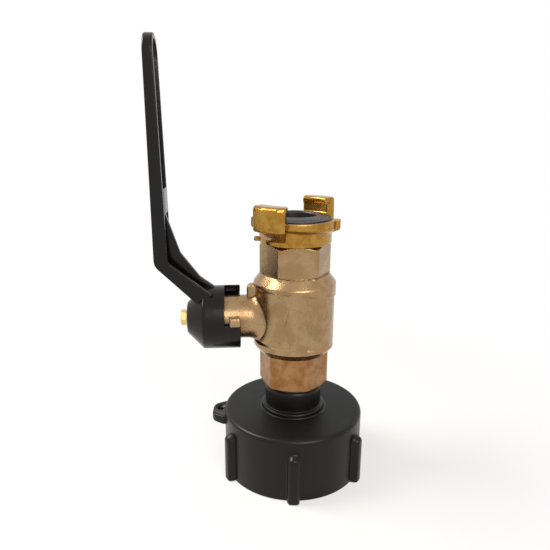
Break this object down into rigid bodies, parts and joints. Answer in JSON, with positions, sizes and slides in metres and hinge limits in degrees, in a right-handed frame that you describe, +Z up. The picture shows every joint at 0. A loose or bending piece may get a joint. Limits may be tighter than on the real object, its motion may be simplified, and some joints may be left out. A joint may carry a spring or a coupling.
{
  "type": "tank valve",
  "caption": "Lever ball valve between a screw cap for a bulk container's outlet and a claw coupling for a hose.",
  "frame": {"origin": "centre of the cap's open rim, on the pipe's axis", "axes": "+Z up the pipe from the tank to the hose; -X along the stem towards the lever; the lever swings to -Y to close"},
  "size_m": [0.1026, 0.0774, 0.2119],
  "materials": {
    "cap_plastic": "moulded black polypropylene, satin side and matt top",
    "seal_rubber": "black rubber",
    "bare_brass": "sand-textured warm brass",
    "nickel_plate": "nickel-plated hot-pressed brass, satin",
    "seat_plastic": "white fluoropolymer",
    "ball_chrome": "polished",
    "lever_paint": "gloss black paint on cast metal",
    "zinc_steel": "yellow zinc",
    "coupling_brass": "tumbled yellow brass"
  },
  "bodies": {
    "valve": {"tank_cap": "cap_plastic", "tank_gasket": "seal_rubber", "spigot_seal": "seal_rubber", "end_connector": "bare_brass", "body_joint_seal": "seal_rubber", "valve_body": "nickel_plate", "lower_seat": "seat_plastic", "upper_seat": "seat_plastic", "stem_thrust_washer": "seat_plastic", "packing_ring": "seat_plastic", "gland_nut": "bare_brass", "claw_coupling": "coupling_brass", "coupling_seal": "seal_rubber"},
    "handle": {"lever": "lever_paint", "lever_washer": "zinc_steel", "lever_nut": "zinc_steel", "stem": "bare_brass", "stem_o_ring": "seal_rubber"},
    "ball": {"ball": "ball_chrome"}
  },
  "joints": [
    {"name": "lever_turn", "type": "hinge", "parent": "valve", "child": "handle", "pos_m": [0, 0, 0.0821], "axis": [1, 0, 0], "range_deg": [0, 90]},
    {"name": "ball_turn", "type": "hinge", "parent": "valve", "child": "ball", "pos_m": [0, 0, 0.0821], "axis": [1, 0, 0], "range_deg": [0, 90]}
  ],
  "couplings": [
    {"joint": "ball_turn", "follows": "lever_turn", "ratio": 1}
  ]
}
